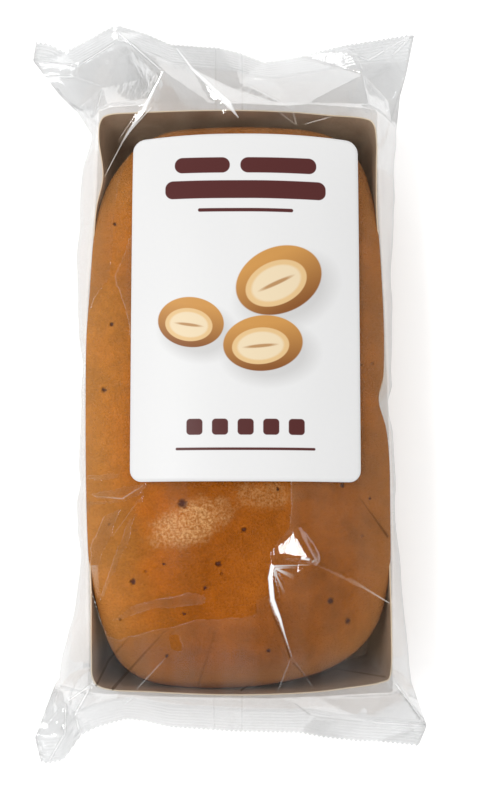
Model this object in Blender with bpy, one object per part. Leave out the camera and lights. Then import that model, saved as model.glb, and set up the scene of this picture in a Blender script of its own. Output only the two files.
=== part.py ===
"""A nut strudel in its baking tray, sealed in a clear flow-wrap bag with a paper label on top.

The bag is shut all round, so the pack is one solid out to the film: the tray's tapered box with the
loaf's crown over it, and at each end a flap that runs from the tray to a flat crimped seal.
Metres, +Z up, +Y towards the end that the label's heading faces, origin under the middle of the tray.
"""

import math

import bmesh
import bpy
from mathutils import Vector

MM = 0.001

# The baking tray inside the bag, measured at its rim.
TRAY_LENGTH = 222 * MM
TRAY_WIDTH = 114 * MM
TRAY_FAR_WIDTH = 107 * MM
RIM_HEIGHT = 48 * MM
END_DRAFT = 7 * MM
SIDE_DRAFT = 4.5 * MM

# The crown of the loaf, as the film over it shows it.
CROWN_RISE = 16 * MM
CROWN_ACROSS = 2.3
CROWN_ALONG = 5.0

# How far out the slack film stands half way up the side walls, at even steps from near end to far.
LEFT_FILM = (69, 61.5, 62.3, 60.4, 62.7, 63.2, 60.5)
RIGHT_FILM = (67.5, 64.5, 62.5, 61.0, 61.9, 62.6, 64.5)
FILM_ON_RIM = 0.6 * MM

# Flat crimped seals. The solid's flaps are as thick as this where the film is a double layer.
SEAL_WIDTH = 11 * MM
SEAL_THICKNESS = 1.6 * MM
RIB_COUNT = 5
RIB_DEPTH = 0.25 * MM

# The cut edge of each end seal, from the left ear to the right one: x, distance from the middle, z.
FAR_EDGE = ((-82, 145, 30), (-68, 143, 17), (-48, 155, 25), (-18, 147, 31), (12, 140, 20),
            (43, 146, 25), (73, 149, 33))
NEAR_EDGE = ((-77, 141, 28), (-60, 133, 19), (-41, 125, 26), (-12, 128, 22), (18, 129, 23),
             (48, 133, 19), (74, 132, 28))

# Tension folds in the flaps: place on the tray's end, place on the seal (-1 left ear, 1 right ear),
# half width as a share of the flap, height.
FAR_FOLDS = ((-0.30, -0.55, 0.16, 3.5), (-0.02, -0.25, 0.12, 3.0), (0.24, -0.05, 0.12, -2.5),
             (0.58, 0.50, 0.12, 2.5))
NEAR_FOLDS = ((-0.50, -0.56, 0.12, 2.5), (-0.14, -0.36, 0.14, -2.0), (0.22, 0.32, 0.12, 2.0),
              (0.50, 0.58, 0.12, 2.5))

# Tucks where the slack film pinches in against a side wall: side, y, half length, depth.
SIDE_TUCKS = ((-1, 72, 14, 2.0), (-1, 8, 16, 2.2), (-1, -52, 14, 2.0),
              (1, 52, 12, 1.6), (1, -4, 12, 3.0), (1, -58, 14, 1.6))

# The paper label: a rectangle with round corners, off centre to the right.
LABEL_LEFT = -39.5 * MM
LABEL_RIGHT = 47 * MM
LABEL_NEAR = -33.5 * MM
LABEL_FAR = 99 * MM
LABEL_CORNER = 4.5 * MM
LABEL_FAR_DROOP = 3.0 * MM
LABEL_THICKNESS = 0.6 * MM
LABEL_GAP = 0.5 * MM

# How finely the solid is faceted.
CORNER_SHARE = 0.74
ACROSS_STEPS = 20
WALL_STEPS = 5
BODY_STEPS = 34
FLAP_STEPS = 7
SEAL_STEPS = RIB_COUNT * 2


def smooth_step(t):
    t = min(1.0, max(0.0, t))
    return t * t * (3 - 2 * t)


def bump(t):
    """A smooth hump that is 1 at 0 and falls to 0 at -1 and 1."""
    return smooth_step(1 - abs(t))


def tent(t):
    """A fold with a crisp ridge at 0 that falls to 0 at -1 and 1."""
    return max(0.0, 1 - abs(t)) ** 1.5


def rim_half_width(y):
    """The tray narrows towards its far end, where the film draws its walls in."""
    far = smooth_step((y - 20 * MM) / (85 * MM))
    return (TRAY_WIDTH + (TRAY_FAR_WIDTH - TRAY_WIDTH) * far) / 2


def crown_height(x, y):
    """The film's height over the rim and the loaf's crown."""
    across = min(1.0, abs(x) / rim_half_width(y))
    along = min(1.0, abs(y) / (TRAY_LENGTH / 2))
    rise = CROWN_RISE * (1 - across**CROWN_ACROSS) * (1 - along**CROWN_ALONG)
    return RIM_HEIGHT + FILM_ON_RIM + rise


def film_out(side, y):
    """How far the film stands from the middle plane, half way up a side wall."""
    outline = LEFT_FILM if side < 0 else RIGHT_FILM
    out = curve([(x,) for x in outline], y / (TRAY_LENGTH / 2))[0]
    for tuck_side, place, half_length, depth in SIDE_TUCKS:
        if tuck_side == side:
            out -= depth * bump((y / MM - place) / half_length)
    return out * MM


def curve(points, share):
    """A place on the smooth curve through evenly spaced points, as share runs from -1 to 1."""
    count = len(points) - 1
    place = (min(1.0, max(-1.0, share)) + 1) / 2 * count
    i = min(int(place), count - 1)
    t = place - i
    before, start = points[max(i - 1, 0)], points[i]
    stop, after = points[i + 1], points[min(i + 2, count)]
    return [
        0.5 * (2 * b + (c - a) * t + (2 * a - 5 * b + 4 * c - d) * t**2 + (3 * b - a - 3 * c + d) * t**3)
        for a, b, c, d in zip(before, start, stop, after)
    ]


def body_point(share, upper, along):
    """A point of the film round the tray.

    share runs from -1, half way up the left wall, to 1, half way up the right one, over the crown
    when upper is set and under the tray otherwise. along runs from -1 to 1 between the tray's ends.
    """
    side = -1 if share < 0 else 1
    y_rim = along * TRAY_LENGTH / 2
    half = rim_half_width(y_rim)
    mid_height = RIM_HEIGHT / 2
    beyond = (abs(share) - CORNER_SHARE) / (1 - CORNER_SHARE)
    if beyond <= 0 and upper:
        x = share / CORNER_SHARE * half
        return Vector((x, y_rim, crown_height(x, y_rim)))
    if beyond <= 0:
        x = share / CORNER_SHARE * (half - SIDE_DRAFT)
        return Vector((x, along * (TRAY_LENGTH / 2 - END_DRAFT), 0))
    rim_z = RIM_HEIGHT + FILM_ON_RIM if upper else 0
    z = rim_z + (mid_height - rim_z) * beyond
    wall = half - SIDE_DRAFT * (1 - z / RIM_HEIGHT)
    slack = film_out(side, y_rim) - (half - SIDE_DRAFT / 2)
    x = side * (wall + slack * math.sin(beyond * math.pi / 2))
    y = along * (TRAY_LENGTH / 2 - END_DRAFT * (1 - min(1.0, z / RIM_HEIGHT)))
    return Vector((x, y, z))


def flap_point(share, upper, end, along):
    """A point of an end flap. along runs from 0 at the tray's end to 1 at the seal's inner line."""
    folds = FAR_FOLDS if end > 0 else NEAR_FOLDS
    start = body_point(share, upper, end)
    inner = seal_point(share, upper, end, 0)
    point = start.lerp(inner, along)
    if upper:
        for on_tray, on_seal, half_width, height in folds:
            ridge = on_tray + (on_seal - on_tray) * along
            point.z += height * MM * tent((share - ridge) / half_width) * bump(along * 2 - 1)
    return point


def seal_point(share, upper, end, along):
    """A point of the crimped seal. along runs from 0 at its inner line to 1 at the cut edge."""
    edge = FAR_EDGE if end > 0 else NEAR_EDGE
    x, out, z = curve(edge, share)
    point = Vector((x, out * end, z)) * MM
    point.y -= end * SEAL_WIDTH * (1 - along)
    point.x *= 1 - 0.03 * (1 - along)
    rib = RIB_DEPTH * math.sin(along * RIB_COUNT * math.tau)
    taper = min(1.0, (1 - abs(share)) * 12)
    point.z += (SEAL_THICKNESS / 2 if upper else -SEAL_THICKNESS / 2) * taper + rib
    return point


def share_steps():
    """Places round half of the bag, closer together by the rim's corners."""
    across = [CORNER_SHARE * math.sin(math.pi / 2 * (2 * i / ACROSS_STEPS - 1)) for i in range(ACROSS_STEPS + 1)]
    wall = [CORNER_SHARE + (1 - CORNER_SHARE) * i / WALL_STEPS for i in range(1, WALL_STEPS + 1)]
    return [-s for s in reversed(wall)] + across + wall


def rings():
    """Each ring of the bag from the near cut edge to the far one, as a function of share and side."""
    made = []
    for i in range(SEAL_STEPS):
        made.append(lambda s, upper, t=1 - i / SEAL_STEPS: seal_point(s, upper, -1, t))
    for i in range(FLAP_STEPS):
        made.append(lambda s, upper, t=1 - i / FLAP_STEPS: flap_point(s, upper, -1, t))
    for i in range(BODY_STEPS + 1):
        along = math.sin(math.pi / 2 * (2 * i / BODY_STEPS - 1)) * 0.35 + (2 * i / BODY_STEPS - 1) * 0.65
        made.append(lambda s, upper, t=along: body_point(s, upper, t))
    for i in range(1, FLAP_STEPS + 1):
        made.append(lambda s, upper, t=i / FLAP_STEPS: flap_point(s, upper, 1, t))
    for i in range(1, SEAL_STEPS + 1):
        made.append(lambda s, upper, t=i / SEAL_STEPS: seal_point(s, upper, 1, t))
    return made


def material(name, colour, roughness, alpha=1.0):
    made = bpy.data.materials.new(name)
    made.use_nodes = True
    shader = made.node_tree.nodes["Principled BSDF"]
    shader.inputs["Base Color"].default_value = (*colour, 1)
    shader.inputs["Roughness"].default_value = roughness
    shader.inputs["Metallic"].default_value = 0
    shader.inputs["Alpha"].default_value = alpha
    made.diffuse_color = (*colour, alpha)
    return made


def add_object(name, mesh_builder, look):
    mesh = bpy.data.meshes.new(name)
    mesh_builder.to_mesh(mesh)
    mesh_builder.free()
    made = bpy.data.objects.new(name, mesh)
    bpy.context.scene.collection.objects.link(made)
    mesh.materials.append(look)
    return made


def make_bag():
    """The shut bag: a tube of rings, flat at both ends, closed by a narrow strip at each cut edge."""
    shares = share_steps()
    loop = [(s, True) for s in shares] + [(s, False) for s in reversed(shares[1:-1])]
    bag = bmesh.new()
    placed = rings()
    ring = [bag.verts.new(placed[0](s, upper)) for s, upper in loop]
    edges = [bag.edges.new((a, b)) for a, b in zip(ring, ring[1:] + ring[:1])]
    close_edge(bag, ring, len(shares))
    for place in placed[1:]:
        grown = bmesh.ops.extrude_edge_only(bag, edges=edges)["geom"]
        edges = [e for e in grown if isinstance(e, bmesh.types.BMEdge) and all(v not in ring for v in e.verts)]
        ring = follow(ring, edges)
        for vert, (s, upper) in zip(ring, loop):
            vert.co = place(s, upper)
    close_edge(bag, ring, len(shares))
    bmesh.ops.recalc_face_normals(bag, faces=bag.faces)
    bmesh.ops.triangulate(bag, faces=bag.faces)
    made = add_object("bag", bag, material("clear_film", (0.62, 0.40, 0.22), 0.15))
    made.data.shade_smooth()
    made.data.set_sharp_from_angle(angle=math.radians(35))


def follow(ring, new_edges):
    """The vertices of the new ring, in the order of the ring that it was extruded from."""
    new = {v for e in new_edges for v in e.verts}
    return [next(e.other_vert(v) for e in v.link_edges if e.other_vert(v) in new) for v in ring]


def close_edge(bag, ring, count):
    """Fills the slit at a cut edge, between the upper half of a ring and the lower one."""
    upper = ring[:count]
    lower = [ring[0]] + list(reversed(ring[count:])) + [ring[count - 1]]
    for i in range(count - 1):
        corners = [upper[i], upper[i + 1], lower[i + 1], lower[i]]
        bag.faces.new(list(dict.fromkeys(corners)))


def label_outline():
    """The label's outline seen from above. Its far edge bows, as its far corners droop with the loaf."""
    middle = (LABEL_LEFT + LABEL_RIGHT) / 2
    half = (LABEL_RIGHT - LABEL_LEFT) / 2
    corners = (
        (LABEL_RIGHT - LABEL_CORNER, LABEL_NEAR + LABEL_CORNER, -90),
        (LABEL_RIGHT - LABEL_CORNER, LABEL_FAR - LABEL_CORNER, 0),
        (LABEL_LEFT + LABEL_CORNER, LABEL_FAR - LABEL_CORNER, 90),
        (LABEL_LEFT + LABEL_CORNER, LABEL_NEAR + LABEL_CORNER, 180),
    )
    points = []
    for x, y, first in corners:
        for step in range(7):
            angle = math.radians(first + 15 * step)
            points.append((x + LABEL_CORNER * math.cos(angle), y + LABEL_CORNER * math.sin(angle)))
        if first == 0:
            points += [(middle + half * s, LABEL_FAR) for s in (0.75, 0.5, 0.25, 0, -0.25, -0.5, -0.75)]
    bowed = []
    for x, y in points:
        far = smooth_step((y - LABEL_NEAR) / (LABEL_FAR - LABEL_NEAR) * 2 - 1)
        bowed.append((x, y - LABEL_FAR_DROOP * far * ((x - middle) / half) ** 2))
    return bowed


def make_label():
    """The label: a sheet that follows the crown, cut to its outline."""
    margin = 3 * MM
    sheet = bmesh.new()
    bmesh.ops.create_grid(sheet, x_segments=16, y_segments=24, size=0.5)
    middle = Vector(((LABEL_LEFT + LABEL_RIGHT) / 2, (LABEL_NEAR + LABEL_FAR) / 2, 0))
    width = LABEL_RIGHT - LABEL_LEFT + 2 * margin
    length = LABEL_FAR - LABEL_NEAR + 2 * margin
    for vert in sheet.verts:
        x, y = middle.x + vert.co.x * width, middle.y + vert.co.y * length
        vert.co = (x, y, crown_height(x, y) + LABEL_GAP)
    grown = bmesh.ops.extrude_face_region(sheet, geom=list(sheet.faces))["geom"]
    for vert in (v for v in grown if isinstance(v, bmesh.types.BMVert)):
        vert.co.z += LABEL_THICKNESS
    bmesh.ops.recalc_face_normals(sheet, faces=sheet.faces)
    label = add_object("label", sheet, material("label_paper", (0.86, 0.86, 0.86), 0.4))

    blank = bmesh.new()
    foot = [blank.verts.new((x, y, RIM_HEIGHT - 10 * MM)) for x, y in label_outline()]
    raised = bmesh.ops.extrude_face_region(blank, geom=[blank.faces.new(foot)])["geom"]
    for vert in (v for v in raised if isinstance(v, bmesh.types.BMVert)):
        vert.co.z += 40 * MM
    bmesh.ops.recalc_face_normals(blank, faces=blank.faces)
    cutter = add_object("label_cutter", blank, material("cutter", (0.5, 0.5, 0.5), 0.5))
    cutter.hide_render = True
    cutter.display_type = "WIRE"

    cut = label.modifiers.new("cut to outline", "BOOLEAN")
    cut.operation = "INTERSECT"
    cut.solver = "EXACT"
    cut.object = cutter


def main():
    for old in list(bpy.data.objects):
        bpy.data.objects.remove(old)
    make_bag()
    make_label()


main()
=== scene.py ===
import math

import bmesh
import bpy
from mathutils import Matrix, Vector, bvhtree, geometry, noise


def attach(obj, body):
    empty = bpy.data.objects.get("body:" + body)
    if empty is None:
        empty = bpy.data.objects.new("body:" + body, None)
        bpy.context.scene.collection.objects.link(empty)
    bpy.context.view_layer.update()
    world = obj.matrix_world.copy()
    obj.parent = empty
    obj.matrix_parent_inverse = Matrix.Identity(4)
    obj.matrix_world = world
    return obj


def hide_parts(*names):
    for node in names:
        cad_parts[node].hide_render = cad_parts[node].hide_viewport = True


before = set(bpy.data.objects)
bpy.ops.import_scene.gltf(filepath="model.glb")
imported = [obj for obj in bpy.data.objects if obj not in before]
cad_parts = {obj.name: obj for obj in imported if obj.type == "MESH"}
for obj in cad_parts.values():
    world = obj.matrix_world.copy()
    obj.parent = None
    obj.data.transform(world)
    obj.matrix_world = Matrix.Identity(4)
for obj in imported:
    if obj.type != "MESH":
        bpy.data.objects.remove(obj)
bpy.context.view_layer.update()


# The camera stands over the pack and looks almost straight down on it, as it lies on its tray.
# A long lens from 0.6 m, a few degrees off the vertical towards the near end.
MM = 0.001
CAMERA_AIM = Vector((3.7, -1.5, 48)) * MM
CAMERA_DISTANCE = 0.6
CAMERA_HEIGHT = math.radians(84)
CAMERA_LENS = 70.6
CAMERA_SENSOR = 36

camera_data = bpy.data.cameras.new("camera")
camera_data.lens = CAMERA_LENS
camera_data.sensor_width = CAMERA_SENSOR
camera = bpy.data.objects.new("camera", camera_data)
bpy.context.scene.collection.objects.link(camera)
to_camera = Vector((0, -math.cos(CAMERA_HEIGHT), math.sin(CAMERA_HEIGHT)))
camera.location = CAMERA_AIM + to_camera * CAMERA_DISTANCE
camera.rotation_mode = "QUATERNION"
camera.rotation_quaternion = (-to_camera).to_track_quat("-Z", "Y")
bpy.context.scene.camera = camera


# The table is a plain white board, lit a little from below, in a white studio tent. The tent lights
# it evenly from all round and stays out of the reflections, so only the soft boxes shine in the film.
TENT_LIGHT = 1.09
TABLE_RADIUS = 4
TABLE_WHITE = 0.97
TABLE_GLOW = 0.12
# The soft boxes: name, place, width and length in m, and watts. They point at the pack's middle.
SOFT_BOXES = (
    ("key_box", (-0.36, -0.05, 0.80), 0.30, 0.18, 2.2),
    ("far_box", (-0.42, 0.95, 0.28), 0.14, 0.14, 1.1),
)
BOX_AIM = Vector((0, 0, 0.04))


def set_up_tent():
    world = bpy.data.worlds.new("tent")
    bpy.context.scene.world = world
    world.use_nodes = True
    world.node_tree.nodes["Background"].inputs["Color"].default_value = (1, 1, 1, 1)
    world.node_tree.nodes["Background"].inputs["Strength"].default_value = TENT_LIGHT
    world.cycles_visibility.glossy = False


def add_soft_box(name, place, width, length, watts):
    data = bpy.data.lights.new(name, "AREA")
    data.shape = "RECTANGLE"
    data.size = width
    data.size_y = length
    data.energy = watts
    box = bpy.data.objects.new(name, data)
    bpy.context.scene.collection.objects.link(box)
    box.location = place
    box.rotation_mode = "QUATERNION"
    box.rotation_quaternion = (BOX_AIM - Vector(place)).to_track_quat("-Z", "Y")


def add_piece(name, mesh_builder, look):
    mesh = bpy.data.meshes.new(name)
    mesh_builder.to_mesh(mesh)
    mesh_builder.free()
    mesh.materials.append(look)
    mesh.shade_smooth()
    piece = bpy.data.objects.new(name, mesh)
    bpy.context.scene.collection.objects.link(piece)
    return piece


def add_table():
    board = bmesh.new()
    bmesh.ops.create_circle(board, cap_ends=True, segments=96, radius=TABLE_RADIUS)
    paint = bpy.data.materials.new("table_white")
    paint.use_nodes = True
    shader = paint.node_tree.nodes["Principled BSDF"]
    shader.inputs["Base Color"].default_value = (TABLE_WHITE, TABLE_WHITE, TABLE_WHITE, 1)
    shader.inputs["Roughness"].default_value = 0.9
    shader.inputs["Specular IOR Level"].default_value = 0.0
    shader.inputs["Emission Color"].default_value = (1, 1, 1, 1)
    shader.inputs["Emission Strength"].default_value = TABLE_GLOW
    add_piece("table", board, paint)


set_up_tent()
for soft_box in SOFT_BOXES:
    add_soft_box(*soft_box)
add_table()
bpy.context.scene.view_settings.view_transform = "Standard"
bpy.context.scene.view_settings.exposure = 0.0


# The baking tray is an open box of greaseproof board, brown on both faces, with a raw cut edge at
# its rim. Its walls lean out, its corners are pressed round, and the tight film bends its rim.
TRAY_FLOOR = 0.4 * MM
RIM_HEIGHT = 48 * MM
BOARD = 0.45 * MM
# How far below the rim the raw edge's pale colour starts, and where it is full.
CUT_EDGE = (0.35 * MM, 0.1 * MM)
RIM = (
    (58.3, -25), (57.2, -12.5), (54.7, -1.5), (56.7, 8), (56.6, 28), (56.0, 51), (54.8, 71), (54.8, 88),
    (55.0, 99), (53.9, 106.5), (49.5, 109.2), (36.7, 110.3), (20, 111.7), (0, 112.3), (-20, 112.1),
    (-38, 111.4), (-49.5, 110.6), (-53.2, 107.3), (-53.6, 99.5), (-51.9, 86), (-54.4, 73), (-55.3, 58),
    (-55.8, 40), (-56.9, 22), (-56.8, 0), (-56.5, -25), (-55.9, -50), (-54.9, -75), (-54.5, -98),
    (-53.6, -107.4), (-47.8, -110.9), (-32, -111.8), (-10, -112.8), (10, -112.8), (28, -112.0),
    (42, -110.4), (54.8, -108.3), (58.5, -104.6), (58.9, -88), (58.5, -65), (58.2, -40),
)
# How much smaller the tray is at its floor, across and along.
LEAN_ACROSS, LEAN_ALONG = 0.085, 0.064
TRAY_STEPS = 6
TRAY_LEVELS = (0.06, 0.2, 0.35, 0.5, 0.65, 0.8, 0.92, 1.0)
FLOOR_BAND = 2 * MM
BOARD_DARK, BOARD_LIGHT, BOARD_CUT = (0.55, 0.375, 0.25), (0.76, 0.56, 0.40), (0.80, 0.66, 0.48)


def along_curve(points, place, closed=False):
    count = len(points)
    i = int(math.floor(place))
    t = place - i

    def at(k):
        return points[k % count] if closed else points[min(max(k, 0), count - 1)]

    return [
        0.5 * (2 * b + (c - a) * t + (2 * a - 5 * b + 4 * c - d) * t**2 + (3 * b - a - 3 * c + d) * t**3)
        for a, b, c, d in zip(at(i - 1), at(i), at(i + 1), at(i + 2))
    ]


def tray_point(place, height):
    """A point of the tray's outer wall; place counts along the rim, height runs from 0 at the floor to 1."""
    x, y = along_curve(RIM, place, closed=True)
    shrink_x = 1 - LEAN_ACROSS * (1 - height)
    shrink_y = 1 - LEAN_ALONG * (1 - height)
    return Vector((x * shrink_x * MM, y * shrink_y * MM, TRAY_FLOOR + (RIM_HEIGHT - TRAY_FLOOR) * height))


def make_tray_mesh():
    count = len(RIM) * TRAY_STEPS
    tray = bmesh.new()
    ring = bmesh.ops.create_circle(tray, cap_ends=True, segments=count, radius=0.05)["verts"]
    for i, vert in enumerate(ring):
        vert.co = tray_point(i / TRAY_STEPS, 0)
    edges = list(tray.edges)
    for level in TRAY_LEVELS:
        grown = bmesh.ops.extrude_edge_only(tray, edges=edges)["geom"]
        new = {v for v in grown if isinstance(v, bmesh.types.BMVert)}
        edges = [e for e in grown if isinstance(e, bmesh.types.BMEdge) and new.issuperset(e.verts)]
        ring = [next(e.other_vert(v) for e in v.link_edges if e.other_vert(v) in new) for v in ring]
        for i, vert in enumerate(ring):
            vert.co = tray_point(i / TRAY_STEPS, level)
    bmesh.ops.inset_region(tray, faces=[f for f in tray.faces if len(f.verts) > 4], thickness=FLOOR_BAND)
    bmesh.ops.recalc_face_normals(tray, faces=tray.faces)
    bmesh.ops.solidify(tray, geom=list(tray.faces), thickness=BOARD)
    return tray


class Look:
    """A material, with short ways to add nodes to it. A value is a number, a tuple or a node's output."""

    def __init__(self, name):
        self.material = bpy.data.materials.new(name)
        self.material.use_nodes = True
        self.tree = self.material.node_tree
        self.shader = self.tree.nodes["Principled BSDF"]

    def feed(self, node, inputs):
        for key, value in inputs.items():
            if isinstance(value, bpy.types.NodeSocket):
                self.tree.links.new(value, node.inputs[key])
            else:
                node.inputs[key].default_value = value

    def add(self, kind, inputs=None, **settings):
        node = self.tree.nodes.new("ShaderNode" + kind)
        for key, value in settings.items():
            setattr(node, key, value)
        self.feed(node, inputs or {})
        return node

    def noise(self, place, scale, detail=2.0, roughness=0.5, out="Fac"):
        inputs = {"Vector": place, "Scale": scale, "Detail": detail, "Roughness": roughness}
        return self.add("TexNoise", inputs).outputs[out]

    def graded(self, value, low, high, to_low=0.0, to_high=1.0, kind="LINEAR"):
        """A value carried over from one range to another, and held at both ends."""
        inputs = {"Value": value, "From Min": low, "From Max": high, "To Min": to_low, "To Max": to_high}
        return self.add("MapRange", inputs, interpolation_type=kind).outputs["Result"]

    def stepped(self, *values):
        return self.graded(*values, kind="SMOOTHSTEP")

    def mixed(self, factor, a, b, kind="MIX"):
        a, b = ((*colour, 1) if isinstance(colour, tuple) else colour for colour in (a, b))
        return self.add("Mix", {"Factor": factor, 6: a, 7: b}, data_type="RGBA", blend_type=kind).outputs[2]

    def math(self, kind, a, b=None, clamp=False):
        inputs = {0: a} if b is None else {0: a, 1: b}
        return self.add("Math", inputs, operation=kind, use_clamp=clamp).outputs[0]

    def vector(self, kind, *values):
        made = self.add("VectorMath", dict(enumerate(values)), operation=kind)
        return made.outputs["Value" if kind == "LENGTH" else "Vector"]

    def oval(self, place, middle, half, turn):
        """A place as seen from an oval, and how far out it is there: 1 at the oval's edge."""
        inputs = {"Vector": place, "Location": (*middle, 0), "Rotation": (0, 0, turn), "Scale": (*half, 1)}
        inner = self.add("Mapping", inputs, vector_type="TEXTURE").outputs[0]
        return inner, self.vector("LENGTH", inner)

    def bump(self, height, strength, distance):
        inputs = {"Height": height, "Strength": strength, "Distance": distance}
        return self.add("Bump", inputs).outputs["Normal"]


def make_board_look():
    look = Look("greaseproof_board")
    where = look.add("TexCoord").outputs["Object"]
    height = look.add("SeparateXYZ", {0: where}).outputs["Z"]
    fibres = look.noise(where, 900, 6)
    clouds = look.noise(where, 60, 3)
    colour = look.mixed(look.graded(clouds, 0.3, 0.7), BOARD_DARK, BOARD_LIGHT)
    colour = look.mixed(0.35, colour, fibres, "MULTIPLY")
    cut = look.graded(height, RIM_HEIGHT - CUT_EDGE[0], RIM_HEIGHT - CUT_EDGE[1])
    colour = look.mixed(cut, colour, BOARD_CUT)
    normal = look.bump(fibres, 0.25, 0.0002)
    look.feed(look.shader, {"Base Color": colour, "Normal": normal, "Roughness": 0.5})
    return look.material


tray = add_piece("baking_tray", make_tray_mesh(), make_board_look())
tray.data.set_sharp_from_angle(angle=math.radians(40))
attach(tray, "root")
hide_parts("bag")


# The strudel is one browned, egg-washed loaf of sweet dough, baked in the tray so that it fills it
# from wall to wall and domes over the rim, round at both ends, with pricked steam holes.
LOAF = (
    (58.5, -25), (57.3, -12.5), (54.4, -1.5), (56.5, 9), (56.8, 28), (55.9, 51), (54.8, 68), (53.2, 80),
    (49, 93), (41, 101.5), (29, 105.9), (10, 107.3), (-8, 107.1), (-26, 105.3), (-38, 99.5), (-46, 91),
    (-51.1, 82), (-53.8, 72), (-55.3, 58), (-56.3, 40), (-57.4, 22), (-57.4, 0), (-57.1, -25),
    (-56.4, -50), (-54.9, -70), (-52.2, -83), (-48.4, -94.5), (-42.3, -103.3), (-33, -108.6),
    (-20, -110.9), (-5, -111.3), (8, -110.5), (22, -108), (34, -104.3), (44, -98.6), (51.5, -91),
    (56.2, -81), (58.4, -66), (58.6, -45),
)
CROWN_RISE = 16
FILM_RIM = 48.6
LOAF_UNDER_FILM = 1.5
# Below the rim the loaf stands in from the walls. Its foot and the top of its side are heights in mm.
SIDE_IN_ACROSS, SIDE_IN_ALONG, SIDE_LEAN = 0.974, 0.98, 0.083
FOOT_HEIGHT, SIDE_HEIGHT = 1.6, 46
# Each end falls away from the film: where that starts, over how many mm, and by how much.
END_FALL = (58, 36, 9.5)
LOAF_TURNS, LOAF_RINGS = 220, 120
# The share of the rings that the loaf's top takes, and its top and side together.
TOP_SHARE, SIDE_SHARE = 0.7, 0.93
# The steam holes: place and radius in mm.
PRICKS = (
    (-19.7, -41.6, 2.3), (3.1, -51.4, 1.2), (-6.3, -63.9, 1.4), (-38.3, -70.5, 1.6), (-11.3, -72.7, 0.9),
    (-26.5, -63.9, 0.7), (-50.0, 2.0, 1.4), (-47.3, 27.0, 1.1), (15.8, -36.2, 0.9), (40.0, -34.5, 1.2),
    (50.5, -39.1, 0.8), (35.3, -77.5, 1.6), (41.9, -85.2, 1.5), (-19.0, -82.3, 0.8), (-25.5, -98.0, 1.0),
    (12.3, -95.9, 1.0), (-46.5, 66, 0.9), (-20, 12, 1.2), (18, 30, 1.3), (-8, 58, 1.1), (20, -8, 1.2),
    (8, 84, 1.0),
)
# How ragged their edges are.
HOLE_TEAR = 1.6
# Where a painted glint of the key box lies on the glaze as sandy golden flecks: middle, half sizes in mm,
# turn and strength.
PAINTED_GLINT_PLACES = ((-17.5, -49.0, 17.5, 9.0, 0.35, 0.85), (10.0, -39.0, 15.0, 6.0, 0.05, 0.35))
# How far out the rim is on each side, at even steps from its near end to its far one.
LEFT_RIM = (54.4, 55.6, 57.2, 58.0, 57.2, 54.4, 53.4)
RIGHT_RIM = (58.5, 59.2, 59.1, 58.3, 57.2, 55.3, 54.6)
RIM_END = 111.5
# The glaze's colours from left to right: the left one is lighter as painted light from the key box's side,
# the right one about as the middle.
GLAZE_LEFT_PAINTED_LIGHT, GLAZE_MIDDLE, GLAZE_RIGHT = (0.50, 0.180, 0.022), (0.36, 0.088, 0.002), (0.33, 0.090, 0.006)
PAINTED_GLINT_GOLD, SIDE_BROWN = (0.76, 0.42, 0.17), (0.50, 0.23, 0.075)
PIT_BROWN, HOLE_BROWN = (0.10, 0.022, 0.006), (0.055, 0.014, 0.012)
GLAZE_SHINE = (1.0, 0.84, 0.58, 1)


def soft_step(t):
    t = min(1.0, max(0.0, t))
    return t * t * (3 - 2 * t)


def side_reach(left, right, side, y):
    """How far out a long side is at y, from its measures at even steps along the tray."""
    outline = left if side < 0 else right
    place = (min(1.0, max(-1.0, y / RIM_END)) + 1) / 2 * (len(outline) - 1)
    return along_curve([(x,) for x in outline], place)[0]


def rim_x(side, y):
    return side_reach(LEFT_RIM, RIGHT_RIM, side, y)


def crown_height(x, y):
    """The level in mm of the taut film over the rim and the loaf."""
    across = min(1.0, abs(x) / rim_x(x, y))
    along = min(1.0, abs(y) / RIM_END)
    return FILM_RIM + CROWN_RISE * (1 - across**2.3) * (1 - along**5)


def crust_relief(x, y):
    broad = noise.noise(Vector((x / 26, y / 26, 3.1)))
    fine = noise.noise(Vector((x / 7, y / 7, 8.4)))
    return 0.45 * broad + 0.12 * fine


def loaf_point(turn, share, top):
    """A point of the loaf. turn runs once round it, share from 0 at the middle to 1 at the outline."""
    x, y = along_curve(LOAF, turn * len(LOAF), closed=True)
    if not top:
        lean = 1 - SIDE_LEAN * (1 - share)
        level = SIDE_HEIGHT * share + FOOT_HEIGHT
        return Vector((x * lean * SIDE_IN_ACROSS, y * lean * SIDE_IN_ALONG, level))
    x, y = x * share, y * share
    shoulder = max(0.0, (share - 0.86) / 0.14)
    fall_start, fall_length, fall_depth = END_FALL
    at_end = soft_step((abs(y) / share - fall_start) / fall_length) if share else 0
    drop = fall_depth * at_end * (1 - math.sqrt(max(0.0, 1 - shoulder**2)))
    under = LOAF_UNDER_FILM * (1 - (1 - at_end) * soft_step((share - 0.8) / 0.2) * 0.7)
    return Vector((x, y, crown_height(x, y) - under - drop + crust_relief(x, y) * (1 - share**4)))


def make_loaf_mesh():
    loaf = bmesh.new()
    bmesh.ops.create_uvsphere(loaf, u_segments=LOAF_TURNS, v_segments=LOAF_RINGS, radius=1)
    for vert in loaf.verts:
        turn = (math.atan2(vert.co.y, vert.co.x) / math.tau) % 1.0
        fall = math.acos(max(-1.0, min(1.0, vert.co.z))) / math.pi
        if fall < TOP_SHARE:
            share = fall / TOP_SHARE
            vert.co = loaf_point(turn, share * (1.35 - 0.35 * share), True) * MM
        elif fall < SIDE_SHARE:
            vert.co = loaf_point(turn, 1 - (fall - TOP_SHARE) / (SIDE_SHARE - TOP_SHARE), False) * MM
            vert.co.z = min(vert.co.z, loaf_point(turn, 1, True).z * MM)
        else:
            flat = (1 - fall) / (1 - SIDE_SHARE)
            foot = loaf_point(turn, 0, False) * MM
            vert.co = Vector((foot.x * flat, foot.y * flat, foot.z))
    bmesh.ops.recalc_face_normals(loaf, faces=loaf.faces)
    return loaf


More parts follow.
